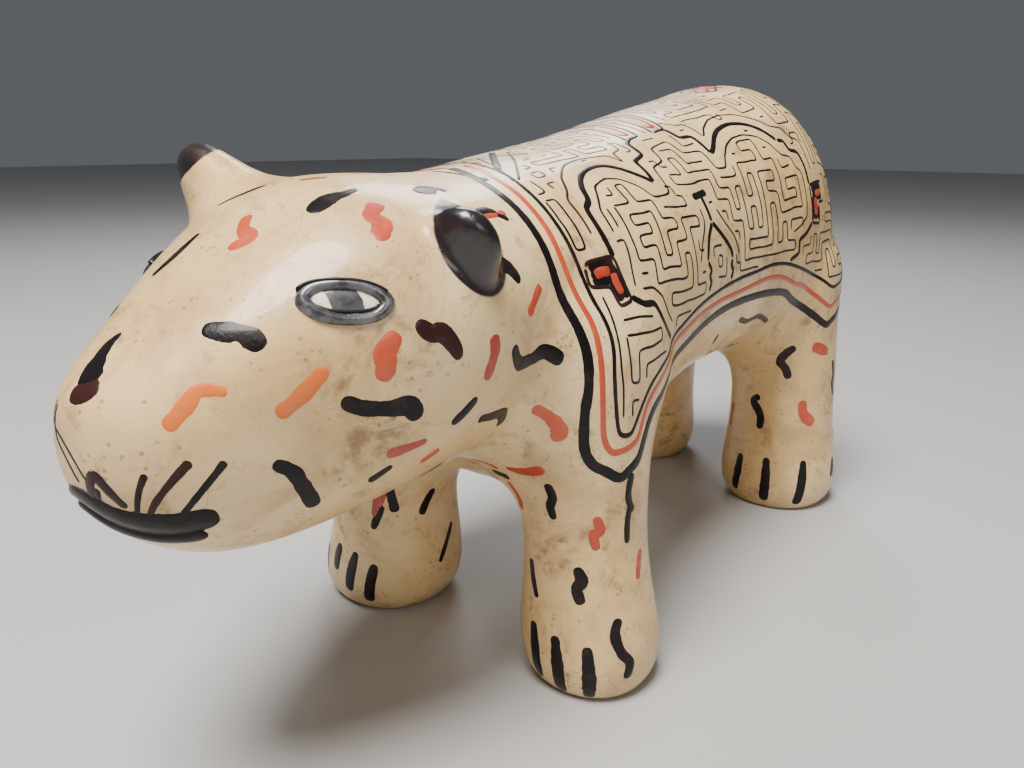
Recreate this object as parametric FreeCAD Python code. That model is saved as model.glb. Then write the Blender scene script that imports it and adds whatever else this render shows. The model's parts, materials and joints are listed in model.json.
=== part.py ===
"""A coil-built clay figure of a big cat, standing on four paws, in millimetres.

The figure is hollow. The trunk and the head are two clay shells that are luted together at the neck.
Each leg is a clay tube with a slab sole under its paw, and its top is cut to the belly that it is luted to.
Ears, eyelids, eyeballs, lips and tail are small pieces pressed onto the shells from outside.
A round passage joins each leg's hollow to the trunk's, and one vent under the belly lets the air of the
whole figure out, because clay with a closed pocket of air bursts in the fire.

The frame stands on the floor, +Z up, with the nose towards -Y and the animal's left side towards +X.
Stations along the animal are measured from the nose, and are moved at the end so that the figure's box
is centred on the origin.
"""
import FreeCAD, Part
import math
import os

V = FreeCAD.Vector

# ---- driving dimensions -------------------------------------------------------------------------------
TRUNK_WALL = 6.0        # clay thickness of the trunk
HEAD_WALL = 6.0         # clay thickness of the head
LEG_WALL = 5.5          # clay thickness of a leg's tube
SOLE_THICKNESS = 5.0    # slab under each paw
PASSAGE_RADIUS = 4.0    # air passage between a leg's hollow and the trunk's
VENT_RADIUS = 2.5       # the one opening to the outside, under the belly
FULLNESS = 2.25         # exponent of the section's outline: 2 is an ellipse, more is squarer
NECK = 89.0             # where the head's shell meets the trunk's, from the nose

# The body's sections, nose to rump: distance from the nose, height of the back, height of the belly,
# half the width, and the height at which the section is widest.
BODY = [
    (0.0, 94.0, 82.0, 5.0, 88.0),
    (5.0, 101.5, 71.5, 14.0, 88.0),
    (15.0, 109.0, 63.5, 22.0, 91.0),
    (31.0, 121.5, 59.5, 31.0, 96.0),
    (51.0, 132.5, 62.0, 40.0, 100.0),
    (73.0, 134.5, 65.0, 42.5, 100.0),
    (93.0, 134.0, 61.0, 39.5, 100.0),
    (113.0, 136.5, 48.0, 43.0, 98.0),
    (137.0, 140.0, 51.0, 46.0, 97.0),
    (169.0, 145.5, 60.0, 43.5, 100.0),
    (199.0, 152.0, 64.0, 43.0, 101.0),
    (231.0, 158.0, 64.0, 45.0, 101.0),
    (261.0, 160.5, 59.0, 44.0, 100.0),
    (283.0, 145.5, 60.0, 38.0, 96.0),
    (295.0, 122.0, 72.0, 25.0, 93.0),
    (300.0, 103.0, 87.0, 7.5, 93.0),
]

# Legs. Each has its own place, because the figure was built by eye: where its middle is at the top and at
# the paw, as distance from the middle (left is plus) and from the nose, and how thick it is at the paw and
# at the top compared with the sections below.
LEGS = {
    "left_front": {"top": (30.5, 116.0), "paw": (40.5, 113.5), "girth": (0.86, 1.0)},
    "right_front": {"top": (-30.5, 116.0), "paw": (-37.1, 112.0), "girth": (1.0, 1.0)},
    "left_rear": {"top": (29.0, 267.0), "paw": (32.0, 266.0), "girth": (1.03, 1.03)},
    "right_rear": {"top": (-30.0, 270.0), "paw": (-38.8, 280.0), "girth": (0.98, 1.0)},
}
# The sections of a leg from the floor up: height, half the width, half the length.
FRONT_LEG = [
    (0.0, 16.5, 16.0),
    (5.0, 20.5, 20.0),
    (14.0, 21.5, 20.5),
    (26.0, 19.5, 19.0),
    (42.0, 18.0, 17.5),
    (62.0, 18.5, 20.0),
    (82.0, 18.0, 24.0),
    (98.0, 13.0, 23.0),
]
REAR_LEG = [
    (0.0, 16.0, 16.0),
    (5.0, 20.0, 20.0),
    (14.0, 21.0, 20.5),
    (26.0, 19.5, 19.5),
    (42.0, 18.5, 19.0),
    (62.0, 18.0, 19.0),
    (82.0, 16.0, 19.0),
    (98.0, 12.0, 17.0),
]

# Ears: a thick rounded flap each. The foot is inside the head's wall, and the tip is up and out.
# Places are distance from the middle, distance from the nose, height.
EARS = {
    "left": {"foot": (31.0, 69.0, 115.5), "tip": (43.0, 63.5, 129.0), "size": 0.9},
    "right": {"foot": (-30.0, 64.0, 118.0), "tip": (-46.0, 57.0, 139.0), "size": 1.08},
}
EAR_FACING = (0.45, -0.89, -0.05)    # the way the painted front of the left ear looks
EAR_SECTIONS = [(0.0, 12.0, 9.0), (0.45, 11.0, 7.5), (0.75, 9.0, 5.8), (0.93, 5.5, 3.8), (1.0, 2.4, 1.8)]

# Eyes: an almond on the side of the head, with a rolled lid round a flatter eyeball.
EYE_STATION = 38.8
EYE_HEIGHT = 113.6
EYE_LENGTH = 14.8        # seen square to the animal's side
EYE_TALL = 8.4
EYE_TILT = -2.0          # degrees, back corner up
LID_WIDTH = 2.0
LID_RISE = 1.6           # how far the lid stands out of the head's surface
EYEBALL_RISE = 0.7

# Mouth: two rolls of clay that wrap round the muzzle, from corner to corner.
MOUTH_CORNER = 16.5      # distance from the nose
MOUTH_HEIGHT = 73.0      # where the two lips meet, at the corner
MOUTH_RISE = 4.5         # how much higher the lips meet at the nose
LIP_TALL = 3.2
LIP_RISE = 1.2           # how far the lips stand out of the muzzle

# Tail: a tapering roll pressed down the rump, its tip turned a little to the right. Points of its middle
# line are distance from the middle, distance behind the rump's end (before it is minus), height.
TAIL_RADIUS = 6.0
TAIL_TIP_RADIUS = 3.2
TAIL_PATH = [
    (0.0, -17.0, 145.0),
    (0.0, -7.0, 128.0),
    (0.0, 0.0, 110.0),
    (-1.0, 2.0, 92.0),
    (-5.0, -1.0, 76.0),
    (-12.0, -9.0, 63.0),
]

# ---- fixed choices ------------------------------------------------------------------------------------
SECTION_POINTS = 24      # points that each closed section is drawn through
LEG_FULLNESS = 2.15
EYE_FULLNESS = 1.8
FAR = 200.0              # longer than the figure is wide or tall, for cutting tools
PASSAGE_HEIGHT = 50.0    # where each passage's drill starts, inside the leg
LEAST_HOLLOW = 7.0       # the hollow stops where half its width or height would be less


def signed_power(value, power):
    return math.copysign(abs(value) ** power, value)


def closed_curve(points):
    """A smooth closed wire through points."""
    curve = Part.BSplineCurve()
    curve.interpolate(Points=points, PeriodicFlag=True)
    return Part.Wire([curve.toShape()])


def turns(count):
    return [2 * math.pi * i / count for i in range(count)]


def body_section(station, back, belly, half_width, widest):
    """One section of the body, square to its length."""
    points = []
    for turn in turns(SECTION_POINTS):
        across = half_width * signed_power(math.cos(turn), 2 / FULLNESS)
        up = signed_power(math.sin(turn), 2 / FULLNESS)
        reach = back - widest if up > 0 else widest - belly
        points.append(V(across, station, widest + reach * up))
    return closed_curve(points)


def body_loft(stations):
    return Part.makeLoft([body_section(*s) for s in stations], True, False)


def slopes_at(stations, i):
    """How fast the back, the belly and the half width change along the body at one station."""
    before, after = stations[max(i - 1, 0)], stations[min(i + 1, len(stations) - 1)]
    run = after[0] - before[0]
    return [(a - b) / run for a, b in zip(after[1:4], before[1:4])]


def inset(stations, wall):
    """The hollow's sections: each moved in by the wall, measured square to the outline."""
    inner = []
    for i, (station, back, belly, half_width, widest) in enumerate(stations):
        top, bottom, side = (wall * math.hypot(1, s) for s in slopes_at(stations, i))
        hollow = (station, back - top, belly + bottom, half_width - side, widest)
        if hollow[3] > LEAST_HOLLOW and hollow[1] - hollow[2] > 2 * LEAST_HOLLOW:
            inner.append(hollow)
    return inner


def swollen(stations, rise):
    """The body's sections moved out by rise, for what stands proud of the surface."""
    outer = []
    last = len(stations) - 1
    for i, (station, back, belly, half_width, widest) in enumerate(stations):
        top, bottom, side = (rise * min(math.hypot(1, s), 2.0) for s in slopes_at(stations, i))
        station += {0: -rise, last: rise}.get(i, 0)
        outer.append((station, back + top, belly - bottom, half_width + side, widest))
    return outer


def biggest(shape):
    """The largest solid of a cut, as a clean solid."""
    return max(shape.Solids, key=lambda solid: solid.Volume)


def slab(low, high):
    """A box across the whole figure between two stations."""
    return Part.makeBox(2 * FAR, high - low, 2 * FAR, V(-FAR, low, -FAR / 2))


def mirrored(shape):
    return shape.mirror(V(0, 0, 0), V(1, 0, 0))


def leg_middle(leg, share):
    """The middle of a leg's section, from the paw at share 0 to the top at share 1."""
    (paw_x, paw_s), (top_x, top_s) = leg["paw"], leg["top"]
    return paw_x + (top_x - paw_x) * share, paw_s + (top_s - paw_s) * share


def leg_loft(leg, sections, wall):
    """The leg's outer form, or with a wall its hollow."""
    wires = []
    for height, half_width, half_length in sections:
        share = height / sections[-1][0]
        middle_x, middle_s = leg_middle(leg, share)
        paw_girth, top_girth = leg["girth"]
        girth = paw_girth + (top_girth - paw_girth) * share
        points = []
        for turn in turns(SECTION_POINTS):
            across = (half_width * girth - wall) * signed_power(math.cos(turn), 2 / LEG_FULLNESS)
            ahead = (half_length * girth - wall) * signed_power(math.sin(turn), 2 / LEG_FULLNESS)
            points.append(V(middle_x + across, middle_s + ahead, height))
        wires.append(closed_curve(points))
    return Part.makeLoft(wires, True, False)


def leg_and_sole(leg, sections, body):
    """A leg's tube, cut to the belly at its top, and the sole under it."""
    outer = leg_loft(leg, sections, 0.0)
    below = Part.makeBox(4 * FAR, 4 * FAR, SOLE_THICKNESS, V(-2 * FAR, -2 * FAR, 0))
    sole = biggest(outer.common(below))
    hollow = leg_loft(leg, sections, LEG_WALL)
    tube = biggest(outer.cut(below).cut(hollow).cut(body))
    return tube, sole


def ear_on(body, ear):
    """An ear, cut to the head that it stands on."""
    foot, tip = V(*ear["foot"]), V(*ear["tip"])
    axis = tip - foot
    height = axis.Length
    axis.normalize()
    facing = V(*EAR_FACING)
    facing.x = math.copysign(facing.x, axis.x)
    facing = facing - axis * facing.dot(axis)
    facing.normalize()
    broad = axis.cross(facing)
    wires = []
    for share, half_broad, half_thick in EAR_SECTIONS:
        centre = foot + axis * (height * share)
        wires.append(closed_curve([
            centre + (broad * (half_broad * math.cos(t)) + facing * (half_thick * math.sin(t))) * ear["size"]
            for t in turns(SECTION_POINTS)
        ]))
    return biggest(Part.makeLoft(wires, True, False).cut(body))


def almond(length, tall):
    """The eye's outline on the side of the head, as a bar along X."""
    tilt = math.radians(EYE_TILT)
    points = []
    for turn in turns(SECTION_POINTS):
        y = length / 2 * signed_power(math.cos(turn), 2 / EYE_FULLNESS)
        z = tall / 2 * signed_power(math.sin(turn), 2 / EYE_FULLNESS)
        points.append(V(
            0,
            EYE_STATION + y * math.cos(tilt) - z * math.sin(tilt),
            EYE_HEIGHT + y * math.sin(tilt) + z * math.cos(tilt),
        ))
    return Part.Face(closed_curve(points)).extrude(V(FAR, 0, 0))


def eye_on(body):
    """The left eye's lid and ball."""
    whole = almond(EYE_LENGTH, EYE_TALL)
    opening = almond(EYE_LENGTH - 2 * LID_WIDTH, EYE_TALL - 2 * LID_WIDTH)
    raised_lid = body_loft(swollen(BODY, LID_RISE)).cut(body)
    raised_ball = body_loft(swollen(BODY, EYEBALL_RISE)).cut(body)
    lid = biggest(whole.cut(opening).common(raised_lid))
    ball = biggest(opening.common(raised_ball))
    return lid, ball


def lips_on(body):
    """The upper and the lower lip: rolls that wrap round the muzzle and end in round corners."""
    raised = body_loft(swollen(BODY, LIP_RISE)).cut(body)
    ahead = BODY[0][0] - FAR / 4
    lift = MOUTH_RISE * (MOUTH_CORNER - ahead) / MOUTH_CORNER
    lips = []
    for tall in (LIP_TALL, -LIP_TALL):
        corner = V(-FAR, MOUTH_CORNER, MOUTH_HEIGHT)
        front = V(-FAR, ahead, MOUTH_HEIGHT + lift)
        edge = V(0, 0, tall)
        round_point = V(-FAR, MOUTH_CORNER + abs(tall) * 0.35, MOUTH_HEIGHT + tall / 2)
        outline = Part.Wire([
            Part.makeLine(corner, front),
            Part.makeLine(front, front + edge),
            Part.makeLine(front + edge, corner + edge),
            Part.Arc(corner + edge, round_point, corner).toShape(),
        ])
        bar = Part.Face(outline).extrude(V(2 * FAR, 0, 0))
        lips.append(biggest(bar.common(raised)))
    return lips


def tail_on(body):
    """The tail, cut to the rump that it is pressed against."""
    path = Part.BSplineCurve()
    rump_end = BODY[-1][0]
    path.interpolate([V(x, rump_end + behind, z) for x, behind, z in TAIL_PATH])
    rings = []
    count = 9
    for i in range(count):
        share = i / (count - 1)
        at = path.FirstParameter + share * (path.LastParameter - path.FirstParameter)
        radius = TAIL_RADIUS + (TAIL_TIP_RADIUS - TAIL_RADIUS) * share
        centre, heading = path.value(at), path.tangent(at)[0]
        rings.append(Part.Wire([Part.Circle(centre, heading, radius).toShape()]))
    tail = Part.makeLoft(rings, True, False)
    return biggest(tail.cut(body))


def main():
    body = body_loft(BODY)
    trunk_hollow = body_loft(inset(BODY, TRUNK_WALL))
    head_hollow = body_loft(inset(BODY, HEAD_WALL))
    behind_neck, before_neck = slab(NECK, NECK + FAR * 2), slab(NECK - FAR * 2, NECK)

    trunk = body.common(behind_neck).cut(trunk_hollow)
    head = body.common(before_neck).cut(head_hollow)
    parts = {}

    for name, leg in LEGS.items():
        sections = FRONT_LEG if "front" in name else REAR_LEG
        parts[f"{name}_leg"], parts[f"{name}_sole"] = leg_and_sole(leg, sections, body)
        middle_x, middle_s = leg_middle(leg, PASSAGE_HEIGHT / sections[-1][0])
        passage = Part.makeCylinder(PASSAGE_RADIUS, FAR / 4, V(middle_x, middle_s, PASSAGE_HEIGHT))
        trunk = trunk.cut(passage)

    vent_station = (LEGS["left_front"]["top"][1] + LEGS["left_rear"]["top"][1]) / 2
    vent = Part.makeCylinder(VENT_RADIUS, FAR / 2, V(0, vent_station, 0))
    parts["trunk_shell"] = biggest(trunk.cut(vent))
    parts["head_shell"] = biggest(head)

    for side, ear in EARS.items():
        parts[f"{side}_ear"] = ear_on(body, ear)
    for name, shape in zip(("eyelid", "eyeball"), eye_on(body)):
        parts[f"left_{name}"] = shape
        parts[f"right_{name}"] = mirrored(shape)
    parts["upper_lip"], parts["lower_lip"] = lips_on(body)
    parts["tail"] = tail_on(body)

    box = Part.makeCompound(list(parts.values())).optimalBoundingBox()
    centring = V(-(box.XMin + box.XMax) / 2, -(box.YMin + box.YMax) / 2, 0)
    os.makedirs("parts", exist_ok=True)
    for name, shape in parts.items():
        shape.translate(centring)
        print(f"{name:18s} valid {shape.isValid()}, {len(shape.Solids)} solid, {shape.Volume / 1000:.1f} cm3")
        shape.exportStep(f"parts/{name}.step")
    print("box", box)
    print("moved by", centring)


main()
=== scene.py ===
# %% [markdown]
# # A coil-built, slip-painted clay big cat
#
# The figure is one hollow piece of fired earthenware. A potter builds the trunk and head from coils, lutes on
# four tubes for legs, pinches two ears, scrapes everything smooth, covers it with cream slip, paints it with
# brown-black and red slip using hair brushes, fires it in an open fire, and rubs tree resin over it while it
# is hot, which gives the gloss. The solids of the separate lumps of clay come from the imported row; this
# script makes the one continuous skin that the scraping leaves, the brush work on it, and the surfaces.
#
# Lengths are metres. The nose points towards -Y, and the animal's left side towards +X.

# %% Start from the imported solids
import json
import math
import random

import bpy
import bmesh
import numpy as np
import openvdb
from mathutils import Matrix, Vector, noise
from mathutils.bvhtree import BVHTree

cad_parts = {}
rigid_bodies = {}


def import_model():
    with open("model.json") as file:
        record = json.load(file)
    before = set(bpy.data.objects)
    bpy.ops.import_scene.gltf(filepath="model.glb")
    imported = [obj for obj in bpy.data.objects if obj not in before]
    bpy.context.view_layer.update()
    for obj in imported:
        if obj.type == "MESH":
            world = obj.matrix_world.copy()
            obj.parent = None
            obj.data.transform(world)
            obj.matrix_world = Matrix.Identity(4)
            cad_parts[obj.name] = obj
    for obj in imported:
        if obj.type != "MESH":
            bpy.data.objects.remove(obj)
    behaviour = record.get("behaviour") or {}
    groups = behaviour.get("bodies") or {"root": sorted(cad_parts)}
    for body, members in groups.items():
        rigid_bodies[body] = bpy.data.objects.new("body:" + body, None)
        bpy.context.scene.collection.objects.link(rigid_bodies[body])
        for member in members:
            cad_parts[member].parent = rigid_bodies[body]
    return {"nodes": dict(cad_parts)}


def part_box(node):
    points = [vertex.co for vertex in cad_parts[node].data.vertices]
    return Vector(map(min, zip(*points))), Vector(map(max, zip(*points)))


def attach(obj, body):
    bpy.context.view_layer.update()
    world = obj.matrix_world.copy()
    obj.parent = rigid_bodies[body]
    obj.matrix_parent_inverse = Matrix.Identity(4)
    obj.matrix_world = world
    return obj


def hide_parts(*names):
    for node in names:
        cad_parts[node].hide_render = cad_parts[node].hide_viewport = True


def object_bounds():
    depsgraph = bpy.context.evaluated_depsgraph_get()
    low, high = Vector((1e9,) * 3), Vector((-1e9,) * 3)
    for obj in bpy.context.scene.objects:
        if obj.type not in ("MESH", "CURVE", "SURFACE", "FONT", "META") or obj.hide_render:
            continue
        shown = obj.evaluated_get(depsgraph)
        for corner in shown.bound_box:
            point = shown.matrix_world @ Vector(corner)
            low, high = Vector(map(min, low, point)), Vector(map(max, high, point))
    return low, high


for thing in list(bpy.data.objects):
    bpy.data.objects.remove(thing)
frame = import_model()
SIZE_AT_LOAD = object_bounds()
MM = 0.001
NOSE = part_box("head_shell")[0][1]          # the y of the nose's tip
print("figure's box", SIZE_AT_LOAD)

# %% Read the solids' triangles, and keep a hollow one's outer faces
FACES_AWAY = 0.25                          # least cosine between an outer face's normal and the way out
CLEAR_LOOK = 30 * MM                       # how far nothing may stand in front of an outer face
JUST_OFF = 0.02 * MM                       # where the look starts, off its own face
SAME_POINT = 0.01 * MM


def triangles_of(*nodes):
    """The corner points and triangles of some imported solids, as arrays."""
    points, faces, start = [], [], 0
    for node in nodes:
        solid = frame["nodes"][node]
        mesh = solid.data
        mesh.calc_loop_triangles()
        here = np.empty(len(mesh.vertices) * 3)
        mesh.vertices.foreach_get("co", here)
        matrix = np.array(solid.matrix_world)
        points.append(here.reshape(-1, 3) @ matrix[:3, :3].T + matrix[:3, 3])
        corners = np.empty(len(mesh.loop_triangles) * 3, int)
        mesh.loop_triangles.foreach_get("vertices", corners)
        faces.append(corners.reshape(-1, 3) + start)
        start += len(here) // 3
    return np.concatenate(points), np.concatenate(faces)


def unit(vectors):
    return vectors / np.maximum(np.linalg.norm(vectors, axis=-1, keepdims=True), 1e-12)


def nearest_on_line(points, low, high):
    low, high = np.array(low), np.array(high)
    share = np.clip(((points - low) @ (high - low)) / ((high - low) @ (high - low)), 0, 1)
    return low + share[:, None] * (high - low)


def outside_of(nodes, low, high):
    """The outer faces of hollow solids round a middle line, with their small holes patched."""
    points, faces = triangles_of(*nodes)
    corners = points[faces]
    normals = unit(np.cross(corners[:, 1] - corners[:, 0], corners[:, 2] - corners[:, 0]))
    centres = corners.mean(1)
    away = unit(centres - nearest_on_line(centres, low, high))
    outward = (normals * away).sum(1) > FACES_AWAY
    tree = BVHTree.FromPolygons([tuple(p) for p in points], [tuple(map(int, f)) for f in faces])
    keep = []
    for i in np.nonzero(outward)[0]:
        start = Vector(centres[i] + normals[i] * JUST_OFF)
        if tree.ray_cast(start, Vector(normals[i]), CLEAR_LOOK)[0] is None:
            keep.append(i)
    used, renumbered = np.unique(faces[keep], return_inverse=True)
    shell = bmesh.new()
    corners = [shell.verts.new(points[i]) for i in used]
    for a, b, c in renumbered.reshape(-1, 3):
        try:
            shell.faces.new((corners[a], corners[b], corners[c]))
        except ValueError:
            pass
    bmesh.ops.remove_doubles(shell, verts=shell.verts, dist=SAME_POINT)
    for attempt in range(5):
        torn = [e for e in shell.edges if e.is_boundary]
        if not torn:
            break
        if attempt:                        # trim the ragged rim that could not be patched
            ragged = {f for e in torn for v in e.verts for f in v.link_faces}
            bmesh.ops.delete(shell, geom=list(ragged), context="FACES")
            torn = [e for e in shell.edges if e.is_boundary]
        bmesh.ops.holes_fill(shell, edges=torn, sides=0)
    bmesh.ops.triangulate(shell, faces=shell.faces)
    print(nodes[0], "open edges", sum(e.is_boundary for e in shell.edges), "faces", len(shell.faces))
    points = np.array([v.co for v in shell.verts], dtype=np.float32)
    faces = np.array([[v.index for v in f.verts] for f in shell.faces], dtype=np.uint32)
    shell.free()
    return points, faces


# %% Fields of distance, one per lump of clay
VOXEL = 1.3 * MM
BAND = 12                                  # voxels on each side of a surface in which distance is known
GRID_LOW = np.array([SIZE_AT_LOAD[0][i] for i in range(3)]) - BAND * VOXEL
GRID_HIGH = np.array([SIZE_AT_LOAD[1][i] for i in range(3)]) + BAND * VOXEL
LOW_CELL = np.floor(GRID_LOW / VOXEL).astype(int)
CELLS = np.ceil(GRID_HIGH / VOXEL).astype(int) - LOW_CELL
TRANSFORM = openvdb.createLinearTransform(voxelSize=VOXEL)


def distance_field(points, faces):
    """Signed distance to a closed surface on the figure's grid, minus inside."""
    grid = openvdb.FloatGrid.createLevelSetFromPolygons(
        np.ascontiguousarray(points, dtype=np.float32),
        triangles=np.ascontiguousarray(faces, dtype=np.uint32),
        transform=TRANSFORM, halfWidth=float(BAND))
    field = np.empty(tuple(CELLS), dtype=np.float32)
    grid.copyToArray(field, ijk=tuple(int(i) for i in LOW_CELL))
    return field


def melt(a, b, width):
    """Join two fields with a fillet of clay about as wide as width."""
    share = np.clip(0.5 + 0.5 * (b - a) / width, 0, 1)
    return b + (a - b) * share - width * share * (1 - share)


AXES = [(np.arange(CELLS[i]) + LOW_CELL[i]) * VOXEL for i in range(3)]
GX, GY, GZ = np.meshgrid(*AXES, indexing="ij", sparse=True)

BODY_AXIS = ((0, NOSE + 0.030, 0.098), (0, NOSE + 0.262, 0.100))
trunk_field = distance_field(*outside_of(["trunk_shell"], *BODY_AXIS))
head_field = distance_field(*outside_of(["head_shell"], *BODY_AXIS))
skin_field = np.minimum(trunk_field, head_field)
# Both are closed at the neck, so for a few cells on each side the joined field is drawn straight across.
NECK_CELLS = 5
neck = int(round(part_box("head_shell")[1][1] / VOXEL)) - LOW_CELL[1]
before, after = skin_field[:, neck - NECK_CELLS].copy(), skin_field[:, neck + NECK_CELLS].copy()
for step in range(1 - NECK_CELLS, NECK_CELLS):
    share = (step + NECK_CELLS) / (2 * NECK_CELLS)
    skin_field[:, neck + step] = before * (1 - share) + after * share
LEGS = ("left_front", "right_front", "left_rear", "right_rear")
LEAN_IN = {"left_front": 0.95, "right_front": 0.95, "left_rear": 0.95, "right_rear": 0.90}
LEG_FILLET, TAIL_FILLET = 15 * MM, 3.5 * MM
for limb in LEGS:
    (x0, y0, _), (x1, y1, _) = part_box(limb + "_sole")
    x, y = (x0 + x1) / 2, (y0 + y1) / 2
    lump = distance_field(*outside_of([limb + "_leg", limb + "_sole"],
                                      (x, y, 0.012), (x * LEAN_IN[limb], y, 0.070)))
    skin_field = melt(skin_field, lump, LEG_FILLET)
# The left ear stands free of the head; the right one was left with a thick root. Both were scraped thinner.
for ear, scraped, fillet in (("left_ear", 1.5, 3.5), ("right_ear", 1.9, 17.0)):
    lump = distance_field(*triangles_of(ear)) + np.float32(scraped * MM)
    skin_field = melt(skin_field, lump, fillet * MM)
skin_field = melt(skin_field, distance_field(*triangles_of("tail")), TAIL_FILLET)
# The vent that let the steam out in the fire, pushed through the belly half way between the legs.
VENT_RADIUS, VENT_TOP = 2.5 * MM, 72 * MM
vent_y = (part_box("left_front_sole")[0][1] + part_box("left_rear_sole")[1][1]) / 2
vent = np.maximum(np.hypot(GX, GY - vent_y) - VENT_RADIUS, GZ - VENT_TOP)
skin_field = np.maximum(skin_field, -vent).astype(np.float32)
print("cells", CELLS, "skin cells inside", int((skin_field < 0).sum()))

# %% From the field to one skin
def mesh_from_field(name, field):
    grid = openvdb.FloatGrid(float(BAND * VOXEL))
    grid.transform = TRANSFORM
    grid.gridClass = openvdb.GridClass.LEVEL_SET
    grid.copyFromArray(np.ascontiguousarray(field), ijk=tuple(int(i) for i in LOW_CELL))
    points, quads = grid.convertToQuads(0.0)
    mesh = bpy.data.meshes.new(name)
    points[:, 2] = np.maximum(points[:, 2], 0.0)        # the soles are rubbed flat on the floor
    mesh.from_pydata(points.tolist(), [], quads.tolist())
    shell = bmesh.new()
    shell.from_mesh(mesh)
    bmesh.ops.recalc_face_normals(shell, faces=shell.faces)
    shell.to_mesh(mesh)
    shell.free()
    mesh.shade_smooth()
    piece = bpy.data.objects.new(name, mesh)
    bpy.context.scene.collection.objects.link(piece)
    return piece


skin = mesh_from_field("clay_skin", skin_field)

# The ears are painted black: the left one's flat outer face, which is a leaf, and the right one's tip. The
# share of black is kept on the skin's points for the finish to read.
LEAF_FACING = unit(np.array((0.66, -0.74, 0.13)))
LEAF_LONG = unit(np.array((0.40, 0.32, -0.86)))
LEAF_ACROSS = np.cross(LEAF_FACING, LEAF_LONG)
LEAF_MIDDLE = np.array((0.0362, NOSE + 0.0675, 0.1205)) + LEAF_ACROSS * 1.2 * MM
LEAF_SIZE = (11.2 * MM, 6.0 * MM)          # half of its length and of its width
LEAF_DEPTH = 12 * MM
TIP_MIDDLE = np.array((-0.0450, NOSE + 0.058, 0.1370))
TIP_TOWARDS = unit(np.array((-0.476, -0.378, 0.790)))
TIP_REACH, TIP_DEPTH, TIP_EDGE = 22 * MM, 6.0 * MM, 4 * MM


def on_points(what):
    """One vector for each point of the skin's mesh."""
    values = np.empty(len(skin.data.vertices) * 3)
    skin.data.vertices.foreach_get(what, values)
    return values.reshape(-1, 3)


spots, normals = on_points("co"), on_points("normal")
away = spots - LEAF_MIDDLE
leaf = 1 - ((np.abs(away @ LEAF_LONG) / LEAF_SIZE[0]) ** 1.7
            + (np.abs(away @ LEAF_ACROSS) / LEAF_SIZE[1]) ** 2.2)
leaf[(np.abs(away @ LEAF_FACING) > LEAF_DEPTH) | (normals @ LEAF_FACING < -0.1)] = -1
near_tip = np.linalg.norm(spots - TIP_MIDDLE, axis=1) < TIP_REACH
tip = spots @ TIP_TOWARDS
tip = (tip - tip[near_tip].max() + TIP_DEPTH) / TIP_EDGE
tip[~near_tip] = -1
face = skin.data.attributes.new("ear_face", "FLOAT", "POINT")
face.data.foreach_set("value", np.clip(0.5 + 0.5 * np.maximum(leaf, tip), 0, 1).astype(np.float32))
print("skin", len(skin.data.vertices), "points", [round(v, 4) for v in skin.dimensions])

# %% [markdown]
# ## Places on the skin
#
# A painter of such a figure turns it in the hand and thinks of places as "so far behind the nose, so far down
# the side". The brush work below is written the same way: a station in millimetres behind the nose and an
# angle down from the back, a height and an angle round a leg, or two angles across the muzzle.

# %% Find places on the skin
SKIN = BVHTree.FromPolygons([v.co for v in skin.data.vertices], [f.vertices for f in skin.data.polygons])
LEG_LEAN = {"left_front": 0.25, "right_front": 0.18, "left_rear": 0.10, "right_rear": 0.22}
AXIS_HEIGHT = 0.100                        # of the line through trunk and head from which angles are seen
MUZZLE_MIDDLE = Vector((0, NOSE + 0.030, 0.095))
BODY_REACH, MUZZLE_REACH, LEG_REACH = 0.075, 0.080, 0.034


def on_skin(outside, inside):
    """Where a straight look from outside towards inside meets the skin."""
    spot = SKIN.ray_cast(outside, (inside - outside).normalized())[0]
    return spot if spot is not None else SKIN.find_nearest(inside)[0]


def body(station, angle):
    """Millimetres behind the nose, and degrees from the top of the back towards the animal's left."""
    axis = Vector((0, NOSE + station * MM, AXIS_HEIGHT))
    turn = math.radians(angle)
    return on_skin(axis + Vector((math.sin(turn), 0, math.cos(turn))) * BODY_REACH, axis)


def muzzle(across, up):
    """Degrees to the left and degrees up, seen from a point inside the muzzle."""
    across, up = math.radians(across), math.radians(up)
    heading = Vector((math.sin(across) * math.cos(up), -math.cos(across) * math.cos(up), math.sin(up)))
    return on_skin(MUZZLE_MIDDLE + heading * MUZZLE_REACH, MUZZLE_MIDDLE)


def leg(name):
    """A place finder for one leg: height in millimetres, and degrees from its front towards its outer side."""
    low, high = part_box(name + "_sole")
    middle = (low + high) / 2
    side = math.copysign(1, middle.x)

    def place(height, angle):
        turn = math.radians(angle)
        lean = 1 - LEG_LEAN[name] * height * MM / 0.098
        axis = Vector((middle.x * lean, middle.y, height * MM))
        return on_skin(axis + Vector((side * math.sin(turn), -math.cos(turn), 0)) * LEG_REACH, axis)
    return place


def through(points, steps=6, closed=False):
    """A smooth run through points, each a tuple of numbers of any length."""
    points = [np.array(p, float) for p in points]
    count = len(points)
    run = []
    for i in range(count if closed else count - 1):
        if closed:
            a, b, c, d = (points[(i + k) % count] for k in (-1, 0, 1, 2))
        else:
            a, b, c, d = points[max(i - 1, 0)], points[i], points[i + 1], points[min(i + 2, count - 1)]
        for j in range(steps):
            t = j / steps
            run.append(0.5 * (2 * b + (c - a) * t + (2 * a - 5 * b + 4 * c - d) * t ** 2
                              + (3 * b - a - 3 * c + d) * t ** 3))
    if not closed:
        run.append(points[-1])
    return run


print("a place on the back", [round(v, 4) for v in body(150, 0)])

# %% [markdown]
# ## One small class for node arithmetic
#
# Every finish and the brush tree are made of nodes. Written out one by one they are hard to read, so a
# `Wire` wraps one socket and lets the sums be written as sums.

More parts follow.
